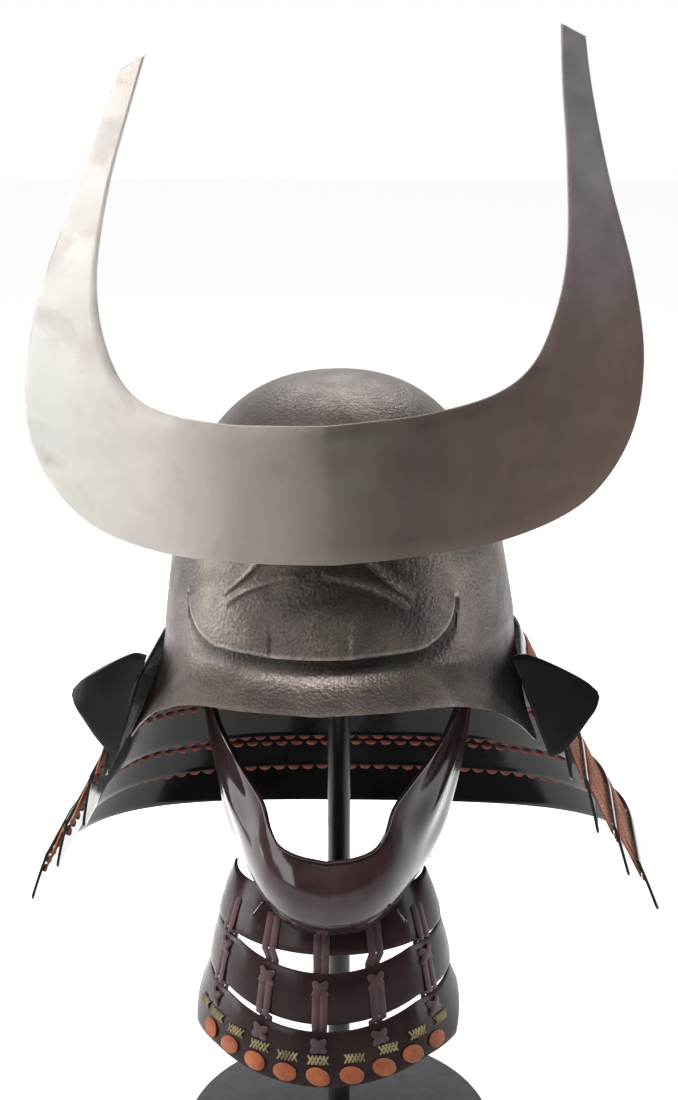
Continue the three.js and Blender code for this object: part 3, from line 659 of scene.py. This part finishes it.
def on_lame(lame, along, up):
    along, up = np.broadcast_arrays(np.asarray(along, float), np.asarray(up, float))
    low_x, low_y, back = plan(lame["width"], lame["rear"], lame["front"], along)
    high_x, high_y, _ = plan(
        lame["width"] - lame["lean"], lame["rear"] - lame["rear_lean"], lame["front"], along)
    low_z = lame["bottom"] + (lame["rear_z"] - lame["bottom"]) * back
    height = lame["height"] + (lame["rear_height"] - lame["height"]) * back
    return np.stack(
        [low_x + (high_x - low_x) * up, low_y + (high_y - low_y) * up, low_z + height * up], -1)


def off_lame(lame, along, up, distance):
    along = np.asarray(along, float)
    ahead = on_lame(lame, np.minimum(along + 0.01, 1), up)
    behind = on_lame(lame, np.maximum(along - 0.01, -1), up)
    run = ahead - behind
    run[..., 2] = 0
    run = unit(run)
    out = np.stack([-run[..., 1], run[..., 0], np.zeros_like(run[..., 0])], -1)
    return on_lame(lame, along, up) + out * distance


def lame_columns(lame):
    middle = np.linspace(0, 1 - SIDE_SHARE, 90, endpoint=False)
    side = np.linspace(1 - SIDE_SHARE, 1, 34, endpoint=False)
    corner = 1 - SIDE_SHARE * LAME_CORNER / abs(lame["front"]) * np.linspace(1, 0, 9) ** 1.5
    right = np.concatenate([middle, side[side < corner[0] - 0.002], corner])
    return np.concatenate([-right[::-1][:-1], right])


def lame_grid(lame, rows=9):
    along = lame_columns(lame)
    from_end = (1 - np.abs(along)) * abs(lame["front"]) / SIDE_SHARE
    into = np.clip(LAME_CORNER - from_end, 0, LAME_CORNER)
    low = (LAME_CORNER - np.sqrt(LAME_CORNER**2 - into**2)) / lame["height"]
    up = low[:, None] + (1 - low[:, None]) * np.linspace(0, 1, rows)[None]
    grid = on_lame(lame, along[:, None], up)
    swell = off_lame(lame, along[:, None], up, 1.0) - grid
    return grid + swell * (0.35 * np.sin(math.pi * up[..., None]))


def outwards(points):
    out = points - np.array([0, -20.0, 0])
    out[..., 2] = 0
    return out


WING = [  # reach out from the fold, lowest and highest height
    (0, 349, 418), (9, 350.5, 418.5), (19, 357, 413.5), (32, 367, 404.5), (43, 375.5, 395), (48.6, 383, 387),
]


def wing(shape, lame, side):
    rows = spline(WING, np.linspace(0, 5, 36))
    up = np.linspace(0, 1, 15)[None]
    z = rows[:, 1:2] + (rows[:, 2:3] - rows[:, 1:2]) * up
    out = np.broadcast_to(rows[:, :1], z.shape)
    slant = math.radians(23)
    fold = on_lame(lame, 1.0, (z - lame["bottom"]) / lame["height"])
    bulge = 1.6 * np.sin(math.pi * np.clip(out / 48, 0, 1))
    x = side * (fold[..., 0] - PLATE + out * math.cos(slant) + bulge * math.sin(slant))
    y = lame["front"] + out * math.sin(slant) - bulge * math.cos(slant)
    shape.plate(np.stack([x, y, z], -1), lambda p: np.array([0, -1.0, 0]))


def neck_guard():
    for i, lame in enumerate(LAMES):
        shape = Shape().plate(lame_grid(lame), outwards)
        if i == 0:
            wing(shape, lame, 1)
            wing(shape, lame, -1)
        shape.piece(f"neck_plate_{i + 1}", BLACK, "black_lacquer", [f"neck_lame_{i + 1}"], tip)


neck_guard()


def even_places(lame, spacing, margin):
    """Places along a lame, evenly spaced in plan."""
    along = np.linspace(-1, 1, 801)
    points = on_lame(lame, along, 0)
    run = np.concatenate([[0], np.cumsum(np.linalg.norm(np.diff(points[:, :2], axis=0), axis=1))])
    count = int((run[-1] - 2 * margin) / spacing)
    at = (run[-1] - count * spacing) / 2 + np.arange(count + 1) * spacing
    return np.interp(at, run, along)


def lacing():
    for i in range(4):
        upper, lower = LAMES[i], LAMES[i + 1]
        joined = dict(upper, front=max(upper["front"], lower["front"]) + 1)
        strands = Shape()
        for k, along in enumerate(even_places(joined, 4.0, 2.5)):
            low_z = on_lame(upper, along, 0.0)[2] + 0.8
            a, b = on_lame(lower, along, 0.0)[2], on_lame(lower, along, 1.0)[2]
            foot = off_lame(lower, along * 0.995, (low_z - a) / (b - a), -PLATE - 1.5)
            head = off_lame(joined, along, 0.74, 1.4)
            t = np.linspace(0, 1, 7)[:, None]
            sway = np.array([random.normal(0, 0.25), random.normal(0, 0.25), 0])
            path = head + (foot - head) * t + sway * np.sin(math.pi * t)
            tuck = off_lame(joined, along, 0.75, 0.3)
            path = np.vstack([tuck, path])
            outward = unit(off_lame(joined, along, 0.5, 1.0) - on_lame(joined, along, 0.5))
            strands.tube(path, 3.5 + random.normal(0, 0.15), 1.5, 6, outward, 2.6)
        strands.piece(f"neck_laces_{i + 1}", ORANGE, "orange_silk", [f"neck_lacing_{i + 1}"], tip)
    loops = Shape()
    for i in range(1, 5):
        lame, above = LAMES[i], LAMES[i - 1]
        for row in range(2 if i < 4 else 1):
            places = even_places(lame, 12.6, 5)
            if row:
                places = (places[1:] + places[:-1]) / 2
            for along in places:
                edge = on_lame(above, along, 0.0)[2]
                a, b = on_lame(lame, along, 0.0)[2], on_lame(lame, along, 1.0)[2]
                z = edge - 2.6 - 5.6 * row
                up = (z - a) / (b - a)
                if up < 0.1:
                    continue
                step = 3.6 / 400
                middle = off_lame(lame, along, up, -PLATE - 0.7)
                left = off_lame(lame, along - step, up, -PLATE - 0.2)
                right = off_lame(lame, along + step, up, -PLATE - 0.2)
                across = unit(right - left)
                t = np.linspace(-1, 1, 7)[:, None]
                sag = np.array([0, 0, -1.6 + random.normal(0, 0.3)])
                out = unit(middle - (left + right) / 2)
                path = middle + across * 4.4 * t + sag * 0.5 * (1 - t**2) - out * 1.0 * t**2
                width = 3.4 * np.sqrt(np.clip(1.08 - t[:, 0] ** 2, 0.05, 1))
                loops.tube(path, width * 1.12, 1.5, 8, out, 2.0)
    loops.piece("neck_lace_loops", BRICK, "orange_silk", (), tip)


lacing()

# ------------------------------------------------------------------------- half mask

MASK_ROWS = [  # rim x, y, z; edge x, y, z; bulge
    (0, -112, 284, 0, -108, 229, 24), (18, -111, 287, 22, -103, 231, 24), (31, -107, 292, 40, -91, 239, 22),
    (38, -102, 302, 54, -74, 253, 20), (43, -97, 318, 65, -57, 264, 18), (54, -89, 333, 74, -43, 279, 15),
    (65, -79, 346, 79, -33, 296, 12), (76, -66, 362, 85, -28, 325, 9), (84, -52, 382, 89, -28, 362, 6),
    (86, -45, 394, 89, -32, 389, 3),
]

PEG = dict(x=47.9, y=-91.2, z=238.1, radius=3.4, half=6, pitch=50, turn=35)


def mask():
    rows = spline(MASK_ROWS, np.linspace(0, 9, 100))
    rows = mirrored(rows, [0, 3])
    far = np.abs(np.linspace(-9, 9, len(rows)))
    rim, edge, bulge = rows[:, None, :3], rows[:, None, 3:6], rows[:, None, 6:]
    middle = (rim + edge) / 2
    out = middle - np.array([0, -20.0, 0])
    out[..., 2] = 0
    out = unit(out)
    crown = middle + out * bulge
    t = np.linspace(0, 1, 33)[None, :, None]
    grid = (1 - t) ** 2 * rim + 2 * t * (1 - t) * crown + t**2 * edge
    cheek = smooth((far[:, None, None] - 3.2) / 1.8) * (1 - smooth((far[:, None, None] - 8) / 1))
    fold = np.cos(2 * math.pi * (t * 2.1 - 0.15 + 0.05 * far[:, None, None])) * np.sin(math.pi * t) ** 0.7
    chin = smooth(1 - far[:, None, None] / 2.6)
    dent = np.exp(-(((t - 0.62) / 0.13) ** 2)) * chin
    grid = grid + out * (1.5 * cheek * fold - 0.8 * dent)
    flange = rim + out * np.linspace(2.4, 0.2, 4)[None, :, None]
    roll = flange + np.array([0, 0, 1.0]) * np.linspace(0.9, 0.5, 4)[None, :, None]
    shape = Shape().plate(np.concatenate([roll[:, :3], grid], 1), outwards, PLATE * 0.9)
    tabs = Shape()
    for side in (-1, 1):
        corner = np.array([side * 60, -50.0, 264])
        u, v = np.meshgrid(np.linspace(-1, 1, 12), np.linspace(-1, 1, 9), indexing="ij")
        width = 7 * (1 - 0.18 * v)
        points = corner + np.stack(
            [side * width * u * 0.75, 5.5 * u * 0.75 + 1.0, 5.5 * v - 1.2 * u * side], -1)
        tabs.plate(points, outwards, 1.6)
    shape.piece("mask_plate", BROWN, "brown_lacquer", ["mask"], shift(MASK_X))
    tabs.piece("mask_tabs", BROWN, "brown_lacquer", (), shift(MASK_X))
    for name, side in (("left", -1), ("right", 1)):
        pitch, turn = math.radians(PEG["pitch"]), math.radians(side * PEG["turn"])
        axis = Vector((0, 1, 0))
        axis.rotate(Matrix.Rotation(turn, 3, "Z"))
        axis.rotate(Matrix.Rotation(pitch, 3, "X"))
        axis = np.array(axis)
        t = np.linspace(-PEG["half"], PEG["half"], 13)[:, None]
        centre = np.array([side * PEG["x"], PEG["y"], PEG["z"]])
        radius = PEG["radius"] * np.interp(np.abs(t[:, 0]), [0, 4.6, 5.6, 6], [0.82, 0.86, 1.0, 0.6])
        peg = Shape().tube(centre + axis * t, radius, radius, 14)
        peg.piece(f"mask_peg_{name}_pin", BROWN, "brown_lacquer", [f"mask_peg_{name}"], shift(MASK_X))


mask()

# ---------------------------------------------------------------------- throat guard

THROAT_COLUMNS = ("top", "bottom", "top_width", "width", "end", "top_front", "front", "lift")
THROAT = [dict(zip(THROAT_COLUMNS, row)) for row in (
    (249, 213, 66, 78, -40, -91, -105, 0),
    (203, 169, 77, 85, -40, -111, -119, 9),
    (167, 130, 84, 97, -41, -124, -132, 9),
)]
LACE_ANGLES = [-58, -27, 0, 27, 58]


def on_throat(lame, angle, up, distance=0.0):
    angle, up = np.broadcast_arrays(np.asarray(angle, float), np.asarray(up, float))
    width = lame["width"] + (lame["top_width"] - lame["width"]) * up
    reach = lame["end"] - (lame["front"] + (lame["top_front"] - lame["front"]) * up)
    point = np.stack([width * np.sin(angle), lame["end"] - reach * np.cos(angle),
                      lame["bottom"] + (lame["top"] - lame["bottom"]) * up
                      + lame["lift"] * np.minimum(1, (np.sin(angle) / 0.75) ** 2)], -1)
    normal = unit(np.stack([np.sin(angle) / width, -np.cos(angle) / reach, np.zeros_like(width)], -1))
    return point + normal * np.asarray(distance, float)[..., None]


def throat_guard():
    for i, lame in enumerate(THROAT):
        angle = np.radians(np.linspace(-90, 90, 121))[:, None]
        from_end = (math.pi / 2 - np.abs(angle)) * 60
        corner, reach = (7, 6) if i < 2 else (24, 22)
        cut = corner * np.clip(1 - from_end / reach, 0, 1) / (lame["top"] - lame["bottom"])
        up = cut + (1 - cut) * np.linspace(0, 1, 10)[None]
        bow = 0.8 * np.sin(math.pi * up)
        Shape().plate(on_throat(lame, angle, up, bow), outwards).piece(
            f"throat_plate_{i + 1}", DEEP, "brown_lacquer", [f"throat_lame_{i + 1}"], shift(THROAT_X))
    laces, knots = Shape(), Shape()
    for i in range(2):
        upper, lower = THROAT[i], THROAT[i + 1]
        high, low = upper["top"] - upper["bottom"], lower["top"] - lower["bottom"]
        drop, climb = (9.5, 4.6) if i == 0 else (8.5, 4.2)
        for angle in LACE_ANGLES:
            middle = math.radians(angle)
            half = 3.6 / (upper["width"] + (-upper["front"] - upper["width"]) * math.cos(middle) ** 2)
            for side in (-1, 1):
                a = middle + side * half
                outer = np.linspace(21, 0, 6) / high
                inner = np.linspace(1, 1 - 11 / low, 4)
                over = on_throat(upper, a, outer, np.interp(outer, [0, 0.5], [1.5, 1.6]))
                behind = on_throat(lower, a, inner, -PLATE - 1.4)
                path = np.vstack([on_throat(upper, a, outer[0] + 0.03, 0.5), over, behind])
                outward = unit(on_throat(upper, a, 0.5, 1.0) - on_throat(upper, a, 0.5))
                laces.tube(path, 5.4, 1.5, 8, outward, 2.6)
            for sign in (-1, 1):
                t = np.linspace(-1, 1, 9)
                a = middle + sign * t * half * 1.75
                up = 1 - (drop - climb * t) / low
                path = on_throat(lower, a, up, 1.0 + 1.0 * (1 - t**2) + 0.4 * (sign > 0))
                outward = unit(on_throat(lower, middle, 0.5, 1.0) - on_throat(lower, middle, 0.5))
                knots.tube(path, 6.4 * np.sqrt(np.clip(1.15 - t**2, 0.1, 1)), 2.0, 8, outward, 2.4)
    names = [f"throat_lace_{tier}_{k}" for tier in ("upper", "lower") for k in range(1, 6)]
    laces.piece("throat_laces", MAROON, "maroon_silk", names, shift(THROAT_X))
    knots.piece("throat_crossings", MAROON, "maroon_silk", (), shift(THROAT_X))


throat_guard()


def throat_frame(angle, z):
    """A place on the lowest plate: its centre and the ways across, up and out."""
    lame = THROAT[2]
    up = (z - lame["bottom"]) / (lame["top"] - lame["bottom"])
    centre = on_throat(lame, angle, up)
    upwards = unit(on_throat(lame, angle, 1.0) - on_throat(lame, angle, 0.0))
    out = unit(on_throat(lame, angle, up, 1.0) - centre)
    across = unit(np.array([-out[1], out[0], 0]))
    facing = np.cross(across, upwards)
    return centre, across, upwards, facing if facing[1] < 0 else -facing


def rounds_and_knots():
    for k in range(-4, 5):
        centre, across, upwards, facing = throat_frame(math.radians(13.5 * k), 138)
        lat, lon = np.meshgrid(
            np.linspace(0.02, math.pi - 0.02, 41), np.linspace(0, 2 * math.pi, 73)[:-1], indexing="ij")
        size = 1 + random.normal(0, 0.03)
        lean = -0.18 + random.normal(0, 0.12)
        a = 8.2 * size * np.sin(lat) * np.cos(lon)
        b = 5.9 * size * np.sin(lat) * np.sin(lon)
        thread = 0.3 * np.cos((a * 0.55 + b * 0.85 + 0.05 * a * b) * 3.6)
        c = 0.4 + 1.75 * np.cos(lat) + (thread * np.sin(lat) ** 0.5) * (np.cos(lat) > 0)
        a, b = a * math.cos(lean) - b * math.sin(lean), a * math.sin(lean) + b * math.cos(lean)
        points = centre + a[..., None] * across + b[..., None] * upwards + (c[..., None] + 1.2) * facing
        Shape().add(points, closed_columns=True, caps=True).piece(
            f"orange_round_pad_{k + 5}", ORANGE, "orange_silk", [f"orange_round_{k + 5}"],
            shift(THROAT_X), 70)
    for k in range(-5, 5):
        step = 13 if k < 0 else 15
        centre, across, upwards, facing = throat_frame(math.radians(step * k), 149)
        knot = Shape()
        for n in range(5):
            for sign in (-1, 1):
                t = np.linspace(-1, 1, 6)[:, None]
                slide = (n - 2) * 2.5 + random.normal(0, 0.15)
                path = (centre + across * (slide + sign * 1.7 * t) + upwards * (2.9 * t)
                        + facing * (1.0 + 0.8 * (1 - t**2) + 0.35 * (sign > 0)))
                knot.tube(path, 1.3, 1.1, 6, facing)
        knot.piece(f"gold_knot_thread_{k + 6}", GOLD, "gold_thread", [f"gold_knot_{k + 6}"],
                   shift(THROAT_X))


rounds_and_knots()

# ----------------------------------------------------------------------------- stand


def turned(name, profile, z, material, slot, node, sides=160):
    profile = np.array(profile, float)
    turn = np.arange(sides) * 2 * math.pi / sides
    grid = np.stack([profile[:, :1] * np.cos(turn), profile[:, :1] * np.sin(turn),
                     np.broadcast_to(profile[:, 1:] + z, (len(profile), sides))], -1)
    return Shape().add(grid, closed_columns=True, caps=True).piece(name, material, slot, [node])


def stand():
    edge = [(113.5 + 1.5 * math.cos(a), 6.5 + 1.5 * math.sin(a))
            for a in np.radians(np.linspace(0, 90, 7))]
    turned("stand_disc", [(20, 0), (113.8, 0), (115, 0.8)] + edge + [(60, 8), (9, 8)], 0,
           STAND_GREY, "stand_grey", "stand_base")
    pad_height, clearance = 16, 0.9
    head_z = RINGS[0][0] - PLATE - pad_height - clearance
    turned("stand_rod", [(8, 0), (8, 100), (8, 300), (8, head_z - 8 - 0.6)], 8.3, STAND_BLACK, "stand_black",
           "stand_post", 64)
    pad = [(30, 0), (33, 0.6), (34, 2), (33.2, 5), (30.6, 8.8), (25, 12.2), (18.7, 14.4), (10, 15.6),
           (1, pad_height)]
    turned("stand_pad", pad, head_z, STAND_BLACK, "stand_black", "stand_head", 96)
    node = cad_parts["mask_hanger"]
    node.data.materials.clear()
    node.data.materials.append(STAND_BLACK)


stand()

# ------------------------------------------------------------ floor, light and camera


CAMERA = dict(turn=5, pitch=17, distance=1.085, height=0.794, sensor=36, lens=54.69)
LAMP_TARGET = (0, -0.05, 0.45)
LAMPS = [  # name, place in metres, width and height, watts, colour
    ("top_front", (-0.45, -1.1, 2.2), (1.5, 0.4), 50, (1.0, 0.99, 0.97)),
    ("left_front", (-1.25, -2.0, 0.8), (0.8, 1.2), 9, (1.0, 1.0, 1.0)),
    ("left_side", (-1.7, -0.15, 0.7), (1.0, 1.5), 28, (1.0, 1.0, 1.0)),
    ("right_side", (1.8, -0.1, 0.6), (0.7, 1.3), 10, (0.97, 0.98, 1.0)),
    ("back_top", (0.0, 1.5, 1.9), (1.5, 0.8), 16, (1.0, 1.0, 1.0)),
]


def floor():
    """A pale floor, darker in front of the stand than behind it: the darker front is painted shade, and the
    glow behind the stand is painted light.
    """
    mesh = bpy.data.meshes.new("floor")
    mesh.from_pydata([(-9, -9, 0), (9, -9, 0), (9, 9, 0), (-9, 9, 0)], [], [(0, 1, 2, 3)])
    ground = bpy.data.objects.new("floor", mesh)
    bpy.context.scene.collection.objects.link(ground)
    pale = Paint("pale_floor", (0.9, 0.9, 0.905), 0.7, 0.0, Emission_Strength=1.0)
    back = pale.axis("Y", -0.5, 0.25)
    pale.color(pale.ramp(back, [(0.0, 0.5), (1.0, 0.9)]))
    # Painted glow: the floor gives off light behind the stand.
    pale.link(pale.ramp(back, [(0.0, 0.0), (1.0, 0.56)]), pale.shader.inputs["Emission Color"])
    mesh.materials.append(pale.material)


def surroundings():
    """White to the camera; as light, brighter from behind and dimmer from the right."""
    world = bpy.data.worlds.new("studio")
    world.use_nodes = True
    tree = world.node_tree

    def span(source, values):
        node = tree.nodes.new("ShaderNodeMapRange")
        for key, value in zip(("From Min", "From Max", "To Min", "To Max"), values):
            node.inputs[key].default_value = value
        tree.links.new(source, node.inputs["Value"])
        return node

    def combine(operation, a, b):
        node = tree.nodes.new("ShaderNodeMath")
        node.operation = operation
        tree.links.new(a, node.inputs[0])
        tree.links.new(b, node.inputs[1])
        return node.outputs[0]

    split = tree.nodes.new("ShaderNodeSeparateXYZ")
    tree.links.new(tree.nodes.new("ShaderNodeTexCoord").outputs["Generated"], split.inputs[0])
    behind = span(split.outputs["Y"], (-0.9, 0.7, 0.07, 0.8))
    behind.interpolation_type = "SMOOTHSTEP"
    right = span(split.outputs["X"], (-0.2, 0.9, 1.0, 0.5))
    light = combine("MULTIPLY", behind.outputs["Result"], right.outputs["Result"])
    seen = tree.nodes.new("ShaderNodeLightPath").outputs["Is Camera Ray"]
    backdrop = tree.nodes["Background"]
    backdrop.inputs["Color"].default_value = (1, 1, 1, 1)
    tree.links.new(combine("MAXIMUM", light, seen), backdrop.inputs["Strength"])
    bpy.context.scene.world = world


def lamps():
    for name, place, size, energy, color in LAMPS:
        light = bpy.data.lights.new(name, "AREA")
        light.shape = "RECTANGLE"
        light.size, light.size_y = size
        light.energy, light.color = energy, color
        lamp = bpy.data.objects.new(name, light)
        lamp.location = place
        aim = Vector(LAMP_TARGET) - Vector(place)
        lamp.rotation_euler = aim.to_track_quat("-Z", "Y").to_euler()
        bpy.context.scene.collection.objects.link(lamp)


def camera():
    turn, pitch = math.radians(CAMERA["turn"]), math.radians(CAMERA["pitch"])
    distance = CAMERA["distance"]
    data = bpy.data.cameras.new("camera")
    data.sensor_width, data.lens = CAMERA["sensor"], CAMERA["lens"]
    data.clip_start, data.clip_end = 0.05, 60
    cam = bpy.data.objects.new("camera", data)
    cam.location = (distance * math.sin(turn), -distance * math.cos(turn), CAMERA["height"])
    forward = Vector((-math.sin(turn) * math.cos(pitch), math.cos(turn) * math.cos(pitch),
                      -math.sin(pitch)))
    cam.rotation_euler = forward.to_track_quat("-Z", "Y").to_euler()
    bpy.context.scene.collection.objects.link(cam)
    bpy.context.scene.camera = cam


floor()
surroundings()
lamps()
bpy.context.scene.view_settings.view_transform = "Standard"
camera()
